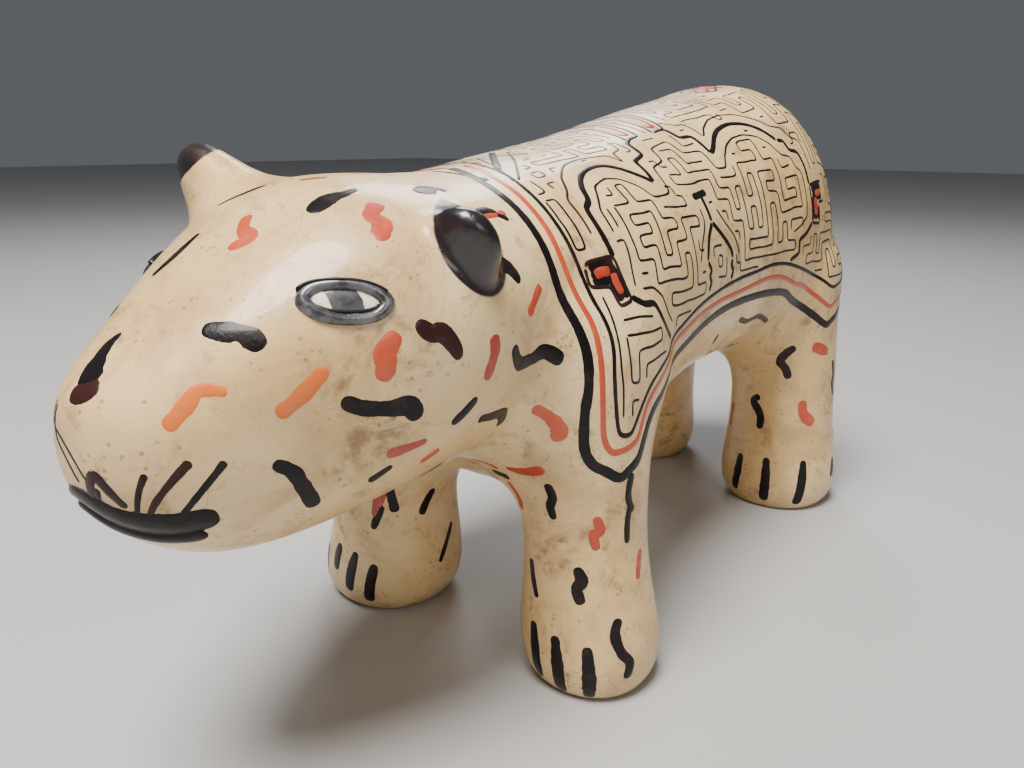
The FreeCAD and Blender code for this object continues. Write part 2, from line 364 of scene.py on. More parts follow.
# %% Wires and trees
class Wire:
    """A socket of a node tree that can be added, multiplied and compared like a number."""
    def __init__(self, tree, socket):
        self.tree = tree
        self.socket = socket

    def maths(self, operation, *others):
        return self.tree.add("ShaderNodeMath", {"operation": operation},
                             dict(enumerate((self,) + others)))

    def __add__(self, other): return self.maths("ADD", other)
    def __sub__(self, other): return self.maths("SUBTRACT", other)
    def __mul__(self, other): return self.maths("MULTIPLY", other)
    def __truediv__(self, other): return self.maths("DIVIDE", other)
    def __pow__(self, other): return self.maths("POWER", other)
    def __radd__(self, other): return self.maths("ADD", other)
    def __rmul__(self, other): return self.maths("MULTIPLY", other)
    def min(self, other): return self.maths("MINIMUM", other)
    def max(self, other): return self.maths("MAXIMUM", other)
    def absolute(self): return self.maths("ABSOLUTE")
    def root(self): return self.maths("SQRT")
    def clamped(self): return self.max(0.0).min(1.0)

    def __rsub__(self, other):
        return self.tree.add("ShaderNodeMath", {"operation": "SUBTRACT"}, {0: other, 1: self})

    def ramp(self, low, high):
        """0 at low, 1 at high, and smooth between."""
        return self.tree.add("ShaderNodeMapRange", {"interpolation_type": "SMOOTHSTEP"},
                             {"Value": self, "From Min": low, "From Max": high})


class Tree:
    """A node tree with one method that adds a node: type, settings, then values and links."""
    def __init__(self, nodes_and_links):
        self.inner = nodes_and_links

    def add(self, kind, settings=None, given=None, out=None):
        node = self.inner.nodes.new(kind)
        for name, value in (settings or {}).items():
            setattr(node, name, value)
        for name, value in (given or {}).items():
            if isinstance(name, int):
                slot = node.inputs[name]
            else:
                slot = next(s for s in node.inputs if s.name == name and s.enabled)
            if isinstance(value, Wire):
                self.inner.links.new(value.socket, slot)
            else:
                slot.default_value = value
        ends = [s for s in node.outputs if s.enabled and (out is None or s.name == out)]
        return Wire(self, ends[0]) if ends else node

    def colour(self, share, first, second, blend="MIX"):
        return self.add("ShaderNodeMix", {"data_type": "RGBA", "blend_type": blend},
                        {"Factor": share, "A": first, "B": second})

    def vector(self, operation, *values, out=None):
        return self.add("ShaderNodeVectorMath", {"operation": operation}, dict(enumerate(values)), out)

    def noise(self, place, scale, detail=3.0, roughness=0.5, distortion=0.0):
        return self.add("ShaderNodeTexNoise", {}, {"Vector": place, "Scale": scale, "Detail": detail,
                                                   "Roughness": roughness, "Distortion": distortion})


print("wires ready")

# %% [markdown]
# ## The brush stroke
#
# Slip is thick, so a stroke stands a tenth of a millimetre proud, round across its width and round at its
# ends, and its edge wavers with the hairs of the brush. One tree turns any line into such a stroke and lays
# it on the skin; the lips and the eyes' rims, which are thin rolls of clay, are the same tree with more rise.

# %% Build the brush tree
WAVER_SCALE = 420.0                        # the edge's unevenness repeats about every 2.4 mm
STROKE_SEED = 7
POINTS_ACROSS = 7                          # points across a stroke's width


def brush_tree():
    group = bpy.data.node_groups.new("brush_stroke", "GeometryNodeTree")
    face = group.interface
    face.new_socket("Lines", in_out="INPUT", socket_type="NodeSocketGeometry")
    face.new_socket("Skin", in_out="INPUT", socket_type="NodeSocketObject")
    for name in ("Rise", "Sink", "Step", "Waver"):
        face.new_socket(name, in_out="INPUT", socket_type="NodeSocketFloat")
    face.new_socket("Finish", in_out="INPUT", socket_type="NodeSocketMaterial")
    face.new_socket("Strokes", in_out="OUTPUT", socket_type="NodeSocketGeometry")
    tree = Tree(group)
    inlet = group.nodes.new("NodeGroupInput")
    given = {s.name: Wire(tree, s) for s in inlet.outputs if s.name}

    def kept(geometry, name, value, kind="FLOAT", domain="POINT"):
        return tree.add("GeometryNodeStoreNamedAttribute", {"data_type": kind, "domain": domain},
                        {"Geometry": geometry, "Name": name, "Value": value})

    def read(name, kind="FLOAT"):
        return tree.add("GeometryNodeInputNamedAttribute", {"data_type": kind}, {"Name": name})

    skin_mesh = tree.add("GeometryNodeObjectInfo", {"transform_space": "RELATIVE"},
                         {"Object": given["Skin"]}, "Geometry")
    skin_mesh = kept(skin_mesh, "outward", tree.add("GeometryNodeInputNormal", out="Normal"), "FLOAT_VECTOR")
    outward = read("outward", "FLOAT_VECTOR")

    def outward_here():
        return tree.add("GeometryNodeSampleNearestSurface", {"data_type": "FLOAT_VECTOR"},
                        {"Mesh": skin_mesh, "Value": outward,
                         "Sample Position": tree.add("GeometryNodeInputPosition")})

    line = tree.add("GeometryNodeMeshToCurve", {}, {"Mesh": given["Lines"]})
    line = tree.add("GeometryNodeResampleCurve", {"mode": "LENGTH"}, {"Curve": line, "Length": given["Step"]})
    line = tree.add("GeometryNodeSetCurveNormal", {"mode": "FREE"}, {"Curve": line, "Normal": outward_here()})

    half_width = read("half_width")
    along = tree.add("GeometryNodeSplineParameter", out="Length")
    whole = tree.add("GeometryNodeSplineLength", out="Length")
    from_end = along.min(whole - along) / half_width
    cap = (1.0 - (1.0 - from_end.min(1.0)) ** 2.0).max(0.0).root()
    cap = cap.max(tree.add("GeometryNodeInputSplineCyclic"))
    place = tree.add("GeometryNodeInputPosition")
    waver = tree.noise(place, WAVER_SCALE, 2.0) - 0.5
    line = kept(line, "cap", cap)
    # Each stroke gets a number of its own, which the finishes read as how much slip the brush held.
    chance = tree.add("FunctionNodeRandomValue", {"data_type": "FLOAT"}, {"Seed": STROKE_SEED})
    line = kept(line, "stroke", chance, domain="CURVE")
    profile = tree.add("GeometryNodeCurvePrimitiveLine", {"mode": "POINTS"},
                       {"Start": (0.0, -1.0, 0.0), "End": (0.0, 1.0, 0.0)})
    profile = tree.add("GeometryNodeResampleCurve", {"mode": "COUNT"}, {"Curve": profile, "Count": POINTS_ACROSS})
    across = tree.add("ShaderNodeSeparateXYZ", {}, {"Vector": tree.add("GeometryNodeInputPosition")}, "Y")
    profile = kept(profile, "across", across)
    ribbon = tree.add("GeometryNodeCurveToMesh", {},
                      {"Curve": line, "Profile Curve": profile,
                       "Scale": half_width * (cap + 0.02) * (1.0 + waver * given["Waver"])})

    near = tree.add("GeometryNodeProximity", {"target_element": "FACES"},
                    {"Geometry": skin_mesh, "Sample Position": tree.add("GeometryNodeInputPosition")}, "Position")
    across, cap = read("across"), read("cap")
    lens = (1.0 - across * across) * cap
    height = given["Rise"] * lens.max(0.0).root() - given["Sink"] * (1.0 - lens)
    lifted = tree.vector("ADD", near, tree.add("ShaderNodeVectorMath", {"operation": "SCALE"},
                                               {0: outward_here(), "Scale": height}))
    ribbon = tree.add("GeometryNodeSetPosition", {}, {"Geometry": ribbon, "Position": lifted})
    ribbon = tree.add("GeometryNodeSetShadeSmooth", {}, {"Geometry": ribbon})
    ribbon = tree.add("GeometryNodeRealizeInstances", {}, {"Geometry": ribbon})
    ribbon = tree.add("GeometryNodeSetMaterial", {}, {"Geometry": ribbon, "Material": given["Finish"]})
    outlet = group.nodes.new("NodeGroupOutput")
    group.links.new(ribbon.socket, outlet.inputs[0])
    return group


BRUSH = brush_tree()


def paint(name, paths, finish, rise=0.13, sink=0.06, step=0.8, waver=0.5, closed=False):
    """Lay strokes on the skin. Each path is a list of (place, half width in millimetres); lengths in mm."""
    points, edges, widths = [], [], []
    for path in paths:
        start = len(points)
        points += [place for place, _ in path]
        widths += [half_width * MM for _, half_width in path]
        edges += [(i, i + 1) for i in range(start, len(points) - 1)]
        if closed:
            edges.append((len(points) - 1, start))
    mesh = bpy.data.meshes.new(name)
    mesh.from_pydata(points, edges, [])
    mesh.attributes.new("half_width", "FLOAT", "POINT").data.foreach_set("value", widths)
    piece = bpy.data.objects.new(name, mesh)
    bpy.context.scene.collection.objects.link(piece)
    brush = piece.modifiers.new("brush", "NODES")
    brush.node_group = BRUSH
    values = {"Skin": skin, "Rise": rise * MM, "Sink": sink * MM, "Step": step * MM, "Waver": waver,
              "Finish": finish}
    for socket in BRUSH.interface.items_tree:
        if socket.in_out == "INPUT" and socket.name in values:
            brush[socket.identifier] = values[socket.name]
    graph = bpy.context.evaluated_depsgraph_get()
    made = bpy.data.meshes.new_from_object(piece.evaluated_get(graph), preserve_all_data_layers=True,
                                           depsgraph=graph)
    piece.modifiers.clear()
    piece.data = made
    made.name = name
    print(name, len(paths), "strokes", len(made.polygons), "faces")
    return piece

# %% [markdown]
# ## Finishes
#
# **Cream slip** is fine white clay brushed over the red body and burnished. It is warm and uneven, tanned where
# the fire touched it, speckled with grit, finely crazed, and under a thin coat of copal resin. **Black slip** is
# manganese and iron, almost black, with a maroon cast where the brush ran dry. **Red slip** is ochre: some
# strokes fired brick red, others orange. The slips sit in the resin, so all of them are glossy.

# %% Make the finishes
CREAM_PALE, CREAM_TAN = (0.865, 0.650, 0.345, 1), (0.735, 0.485, 0.200, 1)
FIRE_TAN, GRIME = (0.540, 0.325, 0.140, 1), (0.215, 0.115, 0.048, 1)
GRIT, CRAZING = (0.200, 0.110, 0.050, 1), (0.330, 0.200, 0.100, 1)
IRIS_STATION = 39.1                        # millimetres behind the nose


def finish(name):
    """A new material, its tree, and places on the piece in metres."""
    material = bpy.data.materials.new(name)
    material.use_nodes = True
    material.node_tree.nodes.clear()
    tree = Tree(material.node_tree)
    place = tree.add("ShaderNodeTexCoord", {}, {}, "Object")
    return material, tree, place


def surface(tree, colour, roughness, coat, normal, coat_roughness=0.08, gloss=0.5):
    """The shiny, slightly bumpy surface that every slip has under its resin."""
    shader = tree.add("ShaderNodeBsdfPrincipled", {}, {
        "Base Color": colour, "Roughness": roughness, "Specular IOR Level": gloss, "Coat Weight": coat,
        "Coat Roughness": coat_roughness, "Coat IOR": 1.5, "Normal": normal})
    outlet = tree.inner.nodes.new("ShaderNodeOutputMaterial")
    tree.inner.links.new(shader.socket, outlet.inputs[0])


def bumped(tree, height, strength, distance):
    return tree.add("ShaderNodeBump", {}, {"Strength": strength, "Distance": distance, "Height": height})


def slip_cream():
    material, tree, place = finish("slip_cream")
    broad = tree.noise(place, 14.0, 4.0, 0.55)
    cloud = tree.noise(place, 38.0, 6.0, 0.65, 0.6)
    fine = tree.noise(place, 900.0, 3.0, 0.6)
    grain = tree.noise(place, 240.0, 4.0, 0.6)
    colour = tree.colour(broad.ramp(0.35, 0.68), CREAM_PALE, CREAM_TAN)
    colour = tree.colour(cloud.ramp(0.43, 0.67) * 0.80, colour, FIRE_TAN)
    smudge = tree.noise(place, 58.0, 8.0, 0.74, 0.8).ramp(0.49, 0.67) * grain.ramp(0.38, 0.60)
    colour = tree.colour(smudge * 0.75, colour, GRIME)
    # Grit: small dark specks, thick in some places and missing in others.
    grit = tree.add("ShaderNodeTexVoronoi", {}, {"Vector": place, "Scale": 520.0, "Randomness": 1.0}, "Distance")
    some = tree.noise(place, 170.0, 2.0).ramp(0.51, 0.63)
    speck = (1.0 - grit.ramp(0.16, 0.30)) * some
    colour = tree.colour(speck * 0.55, colour, GRIT)
    # Crazing: hair cracks round small islands of slip, seen only here and there.
    bent = tree.vector("ADD", place, tree.add("ShaderNodeVectorMath", {"operation": "SCALE"}, {
        0: tree.add("ShaderNodeTexNoise", {}, {"Vector": place, "Scale": 160.0, "Detail": 3.0}, "Color"),
        "Scale": 0.006}))
    crack = tree.add("ShaderNodeTexVoronoi", {"feature": "DISTANCE_TO_EDGE"},
                     {"Vector": bent, "Scale": 130.0}, "Distance")
    crack = (1.0 - crack.ramp(0.0, 0.030)) * tree.noise(place, 45.0, 3.0).ramp(0.52, 0.70)
    colour = tree.colour(crack * 0.50, colour, CRAZING)
    # The ears' flat faces are painted black; their outline was worked out when the skin was made.
    ear = tree.add("ShaderNodeAttribute", {"attribute_name": "ear_face"}, {}, "Fac")
    ear = (ear + (cloud - 0.5) * 0.12).ramp(0.47, 0.53)
    dark = tree.colour(tree.noise(place, 110.0, 4.0).ramp(0.45, 0.75), (0.010, 0.007, 0.009, 1),
                       (0.045, 0.016, 0.013, 1))
    colour = tree.colour(ear, colour, dark)
    roughness = (0.34 + cloud * 0.20 + smudge * 0.12 - ear * 0.10).clamped()
    coat = (0.38 - smudge * 0.20 - crack * 0.2 + ear * 0.2).clamped()
    height = fine * 0.25 + grain * 0.55 + tree.noise(place, 75.0, 3.0) * 1.6 - crack * 0.35 - speck * 0.4
    surface(tree, colour, roughness, coat, bumped(tree, height, 0.30, 0.0006), 0.12)
    return material


def slip_black():
    material, tree, place = finish("slip_black")
    thin = tree.noise(place, 150.0, 5.0, 0.65)
    fine = tree.noise(place, 1100.0, 3.0)
    stroke = tree.add("ShaderNodeAttribute", {"attribute_name": "stroke"}, {}, "Fac")
    colour = tree.colour(thin.ramp(0.48, 0.72), (0.008, 0.006, 0.007, 1), (0.030, 0.016, 0.014, 1))
    colour = tree.colour(stroke.ramp(0.75, 1.00) * 0.5, colour, (0.060, 0.018, 0.014, 1))
    roughness = (0.24 + thin * 0.24).clamped()
    height = fine * 0.4 + tree.noise(place, 380.0, 3.0)
    surface(tree, colour, roughness, (thin * 0.26).clamped(), bumped(tree, height, 0.45, 0.0003), 0.10, 0.16)
    return material


def slip_red(name, brick, orange):
    material, tree, place = finish(name)
    thin = tree.noise(place, 190.0, 5.0, 0.65)
    fine = tree.noise(place, 1000.0, 3.0)
    stroke = tree.add("ShaderNodeAttribute", {"attribute_name": "stroke"}, {}, "Fac")
    colour = tree.colour(stroke, brick, orange)
    colour = tree.colour(thin.ramp(0.50, 0.74) * 0.35, colour, (0.680, 0.230, 0.090, 1))
    colour = tree.colour((1.0 - thin.ramp(0.30, 0.45)) * 0.35, colour, (0.240, 0.040, 0.020, 1))
    roughness = (0.30 + thin * 0.22).clamped()
    height = fine * 0.4 + tree.noise(place, 350.0, 3.0)
    surface(tree, colour, roughness, (0.25 + thin * 0.3).clamped(), bumped(tree, height, 0.32, 0.0003), 0.12, 0.35)
    return material


def clay_lid():
    """The rolled rim of the eye: black slip, with blue-grey patches painted into its colour as painted sheen."""
    material, tree, place = finish("clay_lid")
    thin = tree.noise(place, 260.0, 4.0, 0.6)
    # Painted sheen: the blue-grey mixed in here stands in for the shine of the glossy black rim; the near-black is the
    # slip's own colour.
    colour = tree.colour(thin.ramp(0.40, 0.62), (0.026, 0.022, 0.026, 1), (0.120, 0.118, 0.140, 1))
    height = thin + tree.noise(place, 1000.0, 2.0) * 0.3
    surface(tree, colour, (0.26 + thin * 0.2).clamped(), (0.7 + thin * 0.3).clamped(),
            bumped(tree, height, 0.5, 0.0004))
    return material


def eye_glaze():
    """The eyeball: cream slip with one broad dark band for the iris."""
    material, tree, place = finish("eye_glaze")
    station = tree.add("ShaderNodeSeparateXYZ", {}, {"Vector": place}, "Y") - (NOSE + IRIS_STATION * MM)
    waver = (tree.noise(place, 700.0, 2.0) - 0.5) * 0.0009
    iris = 1.0 - ((station + waver).absolute()).ramp(0.0023, 0.0026)
    fine = tree.noise(place, 400.0, 3.0)
    white = tree.colour(fine.ramp(0.4, 0.7), (0.90, 0.82, 0.66, 1), (0.80, 0.66, 0.50, 1))
    dark = tree.colour(fine.ramp(0.40, 0.66), (0.014, 0.014, 0.018, 1), (0.050, 0.052, 0.062, 1))
    surface(tree, tree.colour(iris, white, dark), (0.34 + fine * 0.2).clamped(), (0.15 + fine * 0.3).clamped(),
            bumped(tree, fine, 0.3, 0.0003))
    return material


CREAM, BLACK = slip_cream(), slip_black()
RED = slip_red("slip_red", (0.380, 0.036, 0.016, 1), (0.560, 0.080, 0.030, 1))
ORANGE = slip_red("slip_orange", (0.660, 0.130, 0.018, 1), (0.760, 0.180, 0.028, 1))
LID, GLAZE = clay_lid(), eye_glaze()
skin.data.materials.append(CREAM)
print("finishes", [m.name for m in bpy.data.materials])

# %% [markdown]
# ## Spots, toes and whiskers
#
# Every spot is one touch of the brush: it starts round, swings once and lifts off, so most are short S or
# comma shapes three millimetres wide. The reds were done after the blacks, in the gaps.

# %% Paint the head's and the body's spots
OWN = None                                 # the width of a spot whose places carry their own half widths


def dab(place, points, width=1.5, tail=0.75):
    """One touch of the brush through natural places; it swells in the middle and lifts off at its end.

    Where the places carry their own half widths as third numbers, those hold instead."""
    run = through(points, 6)
    last = len(run) - 1
    if len(points[0]) == 3:
        return [(place(*p[:2]), p[2]) for p in run]
    return [(place(*p), width * (tail + (1 - tail) * math.sin(math.pi * (0.15 + 0.75 * i / last))))
            for i, p in enumerate(run)]


HEAD_BLACK = [
    ([(19.4, 58.5, 1.5), (21.4, 64.2, 2.5), (23.3, 67.5, 1.9), (24.4, 71.5, 2.7), (25.2, 77, 2.1)], OWN),
    ([(34.5, -16, 0.8), (29, -22, 1.6), (24.5, -31.5, 0.9)], OWN),
    ([(52, -13, 0.8), (48, -18, 1.7), (44, -28, 0.6)], OWN),
    ([(57.5, 25.5, 0.9), (54, 26.5, 1.5), (51.6, 26, 2.3), (49, 26.6, 3.0), (44.6, 29, 2.0)], OWN),
    ([(50, 77, 1.8), (52.5, 81, 2.1), (55, 81.5, 2.4), (57.6, 86, 2.0), (58.9, 90, 1.2)], OWN),
    ([(35.3, 97.5, 1.6), (39, 100.5, 1.9), (44, 101.3, 2.0), (48, 101.2, 2.6), (50, 106, 1.9)], OWN),
    ([(64.4, 102, 0.9), (61.4, 106, 1.5), (58.4, 109.4, 1.2)], OWN),
    ([(24, 119.5, 1.5), (27.4, 122, 1.9), (29.4, 126.6, 1.8), (33.4, 136, 1.9)], OWN),
    ([(47, 121, 1.0), (42.6, 127, 1.3)], OWN),
    ([(68.4, 33.5, 1.1), (72.4, 32.6, 2.6), (76, 31, 1.6), (79.2, 33.4, 1.1)], OWN),
    ([(80.2, 47, 2.0), (85, 46.4, 1.8), (89.2, 50.8, 0.9)], OWN),
    ([(73.6, 71, 1.9), (74.8, 66.4, 2.3), (78.6, 67.4, 2.2), (81.8, 72.6, 1.6)], OWN),
    ([(75.8, 90, 1.6), (78.4, 96.4, 2.0), (84, 97, 1.7), (88.4, 95.6, 2.0), (93.6, 99.5, 2.2)], OWN),
    ([(66.5, 110.4, 1.2), (71, 111.2, 1.4), (76.4, 113, 2.0), (78.6, 119.5, 1.7)], OWN),
    ([(97, 150, 1.4), (98.6, 158, 1.8)], OWN), ([(64, 129, 1.0), (61, 137, 1.4)], OWN),
]
HEAD_RED = [
    ([(39.8, 5, 1.8), (36.4, 12, 1.7), (35, 21, 2.4), (31.6, 17, 1.4)], OWN),
    ([(57, 36.4, 2.2), (52.6, 41.6, 2.0), (53, 46, 2.5), (49.6, 51.6, 2.2)], OWN),
    ([(55, -1, 1.2), (60, 7, 1.5)], OWN), ([(67, 5, 1.1), (75, 15, 1.4)], OWN),
    ([(46.4, 79, 2.2), (43.6, 84, 2.6), (43.4, 88.6, 2.5), (42.4, 93, 2.8)], OWN),
    ([(44.4, 116.6, 1.8), (48, 115.4, 1.5), (53.4, 113.2, 0.9)], OWN),
    ([(81, 48.4, 1.2), (90, 47, 1.3)], OWN), ([(89.4, 74.4, 1.4), (86, 78.6, 1.3), (82.6, 83, 1.5)], OWN),
    ([(68.2, 85, 2.1), (68.8, 90, 1.9), (66.2, 98, 1.4)], OWN),
    ([(86.6, 114, 1.6), (91, 116.6, 1.8), (93.6, 120, 2.6), (92.6, 123.6, 2.1)], OWN),
    ([(94.4, 147, 1.0), (94.6, 140, 1.7), (94.8, 134, 1.7)], OWN),
    ([(96, 152, 1.3), (93, 160, 1.5)], OWN), ([(58, 118, 1.2), (54, 122.6, 1.2)], OWN),
]
HEAD_ORANGE = [
    ([(18.6, 92.4, 1.2), (15, 91, 1.6), (12.8, 97.5, 1.9), (9, 111, 1.8)], OWN),
    ([(33.6, 86, 1.7), (29.4, 94.4, 1.9), (24.8, 102.4, 1.7)], OWN),
]
BELLY_BLACK = [
    ([(183, 113), (184, 119)], 1.4), ([(196, 109), (204, 112), (212, 111), (224, 117)], 1.3),
    ([(150, 128), (157, 131), (161, 128), (166, 132)], 1.6), ([(172, 140), (176, 147)], 1.4),
    ([(215, 133), (221, 138), (226, 136)], 1.5),
    ([(140, 150), (146, 155)], 1.4), ([(205, 152), (212, 156), (216, 152)], 1.5),
    ([(293, 118), (295, 126)], 1.4), ([(297, 76), (297.5, 92)], 1.4),
]
BELLY_RED = [
    ([(190, 126), (195, 131), (200, 128)], 1.6), ([(160, 152), (167, 157), (172, 153)], 1.5),
    ([(228, 151), (233, 157)], 1.5), ([(184, 158), (190, 162)], 1.4), ([(295, 100), (296, 108)], 1.5),
]


def other_side(spots, seed, turn=5.0, shift=2.5):
    """The same kind of spots on the animal's right, never quite in the same places."""
    chance = random.Random(seed)
    moved = []
    for points, width in spots:
        ahead, round_it = chance.uniform(-shift, shift), chance.uniform(-turn, turn)
        if min(abs(p[1]) for p in points) > 40:
            moved.append(([(p[0] + ahead, -(p[1] + round_it), *p[2:]) for p in points], width))
    return moved


black = [dab(body, *spot) for spot in HEAD_BLACK + BELLY_BLACK]
black += [dab(body, *spot) for spot in other_side(HEAD_BLACK + BELLY_BLACK, 3)]
red = [dab(body, *spot) for spot in HEAD_RED + BELLY_RED + other_side(HEAD_RED + BELLY_RED, 4)]
orange = [dab(body, *spot) for spot in HEAD_ORANGE + other_side(HEAD_ORANGE, 5)]

# %% [markdown]
# The legs are painted last, with the figure standing: a few spots round each leg, then short strokes up from
# the sole for the claws, three or four to a paw. A claw is a height and an angle at its top and at its foot.

# %% Paint the legs' spots and claws
LEG_SPOTS = {
    "left_front": (
        [([(60, 8), (56, 11), (53, 7), (49.5, 10)], 1.6), ([(54, 83), (49, 79), (43, 78)], 1.3),
         ([(36, -26), (31, -22), (26, -15)], 1.3), ([(38, 28), (34.5, 33), (32, 28), (28, 32)], 2.0),
         ([(24.5, 63), (20.5, 57.5), (15.5, 61), (12, 68), (7.5, 64)], 1.7), ([(62, -95), (56, -100), (51, -94)], 1.5),
         ([(36, -100), (30, -94)], 1.4), ([(56, 165), (50, 160), (45, 166)], 1.5), ([(30, 150), (25, 156)], 1.4)],
        [([(56, -40), (51, -36), (48, -41)], 1.6), ([(52, 48), (48, 52), (47, 46), (42.5, 48)], 1.6),
         ([(40, 97), (36, 92), (32, 89)], 1.4), ([(44, -70), (38, -74)], 1.4), ([(40, 140), (35, 146)], 1.5)]),
    "right_front": (
        [([(62, 10), (57, 6), (52, 11)], 1.4), ([(40, -84), (36, -76), (32, -70)], 1.5),
         ([(36, -32), (32, -27), (28, -23)], 1.5), ([(26, -108), (20, -95), (15, -86)], 1.1),
         ([(44, 60), (39, 66), (35, 60)], 1.5), ([(58, 110), (52, 116), (47, 110)], 1.5), ([(30, 150), (24, 144)], 1.4)],
        [([(56, -50), (51, -56)], 1.5), ([(50, 35), (45, 30), (41, 36)], 1.5), ([(34, 100), (28, 106)], 1.5)]),
    "left_rear": (
        [([(67, 33), (64.5, 24), (61, 18), (58, 24), (54, 28)], 2.0),
         ([(46, -2), (43.5, -10), (40, -3), (37, 0), (32.5, -1)], 1.8),
         ([(60, 91), (54, 95), (50, 93), (45, 100)], 1.5), ([(30, 110), (25, 116)], 1.4),
         ([(56, 160), (50, 155), (46, 161)], 1.5), ([(48, -80), (42, -86)], 1.4)],
        [([(67, 51), (65.5, 64), (63.5, 79)], 2.5), ([(46, 45, 1.9), (42, 45, 2.2), (39, 49, 2.7), (36, 60, 2.5)], OWN),
         ([(40, -42), (35, -46), (29, -47)], 1.4), ([(40, 130), (34, 136)], 1.6)]),
    "right_rear": (
        [([(64, 20), (59, 27), (55, 21)], 1.5), ([(42, 60), (37, 66), (33, 60)], 1.5),
         ([(54, 105), (48, 111), (44, 106)], 1.5), ([(52, 160), (46, 155)], 1.4), ([(44, -30), (38, -36)], 1.4)],
        [([(54, 62), (50, 70)], 1.6), ([(36, 12), (31, 18), (27, 12)], 1.6), ([(38, 130), (32, 136)], 1.5)]),
}
CLAWS = {
    "left_front": [(19.5, -19, 3, -17), (18.5, 6, 1.5, 7), (17.5, 34, 1.5, 33)],
    "right_front": [(20.5, 14, 11, 17), (20, -8, 6, -2), (17.5, -28, 4, -23), (17, 40, 3, 38)],
    "left_rear": [(21, -20, 5, -26), (22, 10, 3.5, 9), (22, 48, 3, 43), (20, 97, 12, 90)],
    "right_rear": [(21, -28, 4, -25), (22, 2, 3, 2), (21, 32, 3, 30)],
}
for name in LEGS:
    find = leg(name)
    dark, bright = LEG_SPOTS[name]
    black += [dab(find, *spot) for spot in dark]
    red += [dab(find, *spot) for spot in bright]
    for top, start, foot, end in CLAWS[name]:
        half = (top + foot) / 2
        black.append(dab(find, [(top, start, 1.5), (half, (start + end) / 2 + 1, 2.2), (foot, end, 2.1)]))
print("spots", len(black), "black", len(red), "red", len(orange), "orange")

# %% [markdown]
# ## The face
#
# The muzzle has a broad black comma for the nose, two fine lines down from it to the lip, and whiskers that
# rise from the mouth. The lips are two rolls of clay, one on the other, all of it black.

# %% Paint the muzzle and model the lips
NOSE_PATCH = [(-3, 36, 1.0), (-4, 29, 1.6), (-1, 22, 2.2), (3, 15, 3.2), (8, 10, 3.4)]
NOSE_FOOT = [(-1, 6, 2.4), (5, 8, 3.3), (12, 12.5, 3.1)]
LIP_GROUND = [(-26, -40, 2.5), (0, -29, 3.2), (16, -37, 4.6), (34, -42, 5.0), (50, -42, 4.4)]
SEAM_LINES = [[(-10, 3), (-10, -4), (-4, -10), (2, -15), (7, -19), (11, -23)],
              [(-8, 2), (-8, -9), (-5, -14), (1, -20), (5, -23)]]
WHISKERS = [([(32, -18.5, 0.8), (28.5, -25, 0.7), (25, -34, 0.6)], OWN),
            ([(48, -16, 1.15), (44.5, -19, 1.1), (39, -24, 0.85), (33, -30, 0.8), (28, -37, 0.7)], OWN),
            ([(60.5, -17.5, 1.1), (56, -22.5, 0.85), (50, -28.5, 0.8), (40, -38, 0.8)], OWN)]
WHISKER_LOOP = [([(9, -29, 1.2), (10.5, -22, 1.3), (13.5, -19, 1.4), (17, -23, 1.3), (22.5, -31, 0.9)], OWN),
                ([(12, -28, 1.0), (13, -23, 0.9)], OWN)]
UPPER_LIP = [(-9, -29.5, 1.2), (-4, -28.6, 1.8), (1, -28.6, 2.3), (9, -31, 2.9), (20, -36, 3.3), (34, -39.6, 3.4),
             (46, -40.4, 3.5), (56.5, -39.5, 3.0)]
LOWER_LIP = [(-9, -34.5, 1.0), (-4, -35, 1.4), (1, -36.6, 1.7), (12, -42, 2.0), (27, -47, 2.1), (41, -48.4, 2.1),
             (50, -47.4, 1.6)]


black += [dab(muzzle, points) for points in (NOSE_PATCH, NOSE_FOOT, LIP_GROUND)]
black += [dab(muzzle, *spot) for spot in WHISKERS + WHISKER_LOOP]
black += [dab(muzzle, [(-across, *rest) for across, *rest in points], width) for points, width in WHISKERS]
fine_lines = [[(muzzle(*p), 0.42) for p in through(points, 6)] for points in SEAM_LINES]
spots_black = paint("spots_black", black, BLACK, step=0.5)
spots_red = paint("spots_red", red, RED, step=0.5)
spots_orange = paint("spots_orange", orange, ORANGE, step=0.5)
seam_lines = paint("muzzle_seam_lines", fine_lines, BLACK, rise=0.08, sink=0.03, step=0.6)
upper_lip = paint("lip_upper", [dab(muzzle, UPPER_LIP)], BLACK, rise=0.55, sink=0.3, step=0.6, waver=0.2)
lower_lip = paint("lip_lower", [dab(muzzle, LOWER_LIP)], BLACK, rise=0.65, sink=0.3, step=0.6, waver=0.2)

# %% [markdown]
# ## The eyes
#
# Each eye is a rolled rim round an almond, with a black line along the rim's upper edge, a low ball inside it,
# and a thin black line between the ball and the rim below.

# %% Model the eyes
EYE_STATION, EYE_HEIGHT = 39.6, 113.2      # its middle, behind the nose and above the floor, in millimetres
EYE_LONG, EYE_TALL = 6.2, 3.0              # from the middle to the rim's middle
EYE_TILT = math.radians(-2)
FULLER_ENDS, FLATTER_EDGES = 0.80, 1.25    # powers that turn an ellipse into this almond


def eye_place(side, round_it, share, flat=1.0):
    """A place on an eye: an angle round the almond and a share of the way out to the rim's middle.

    `flat` squeezes the almond from above and below."""
    ahead, above = math.cos(round_it), math.sin(round_it)
    along = EYE_LONG * share * math.copysign(abs(ahead) ** FULLER_ENDS, ahead)
    up = EYE_TALL * share * flat * math.copysign(abs(above) ** FLATTER_EDGES, above)
    station = EYE_STATION + along * math.cos(EYE_TILT) - up * math.sin(EYE_TILT)
    height = (EYE_HEIGHT + along * math.sin(EYE_TILT) + up * math.cos(EYE_TILT)) * MM
    y = NOSE + station * MM
    return on_skin(Vector((side * 0.075, y, height)), Vector((side * 0.010, y, height)))


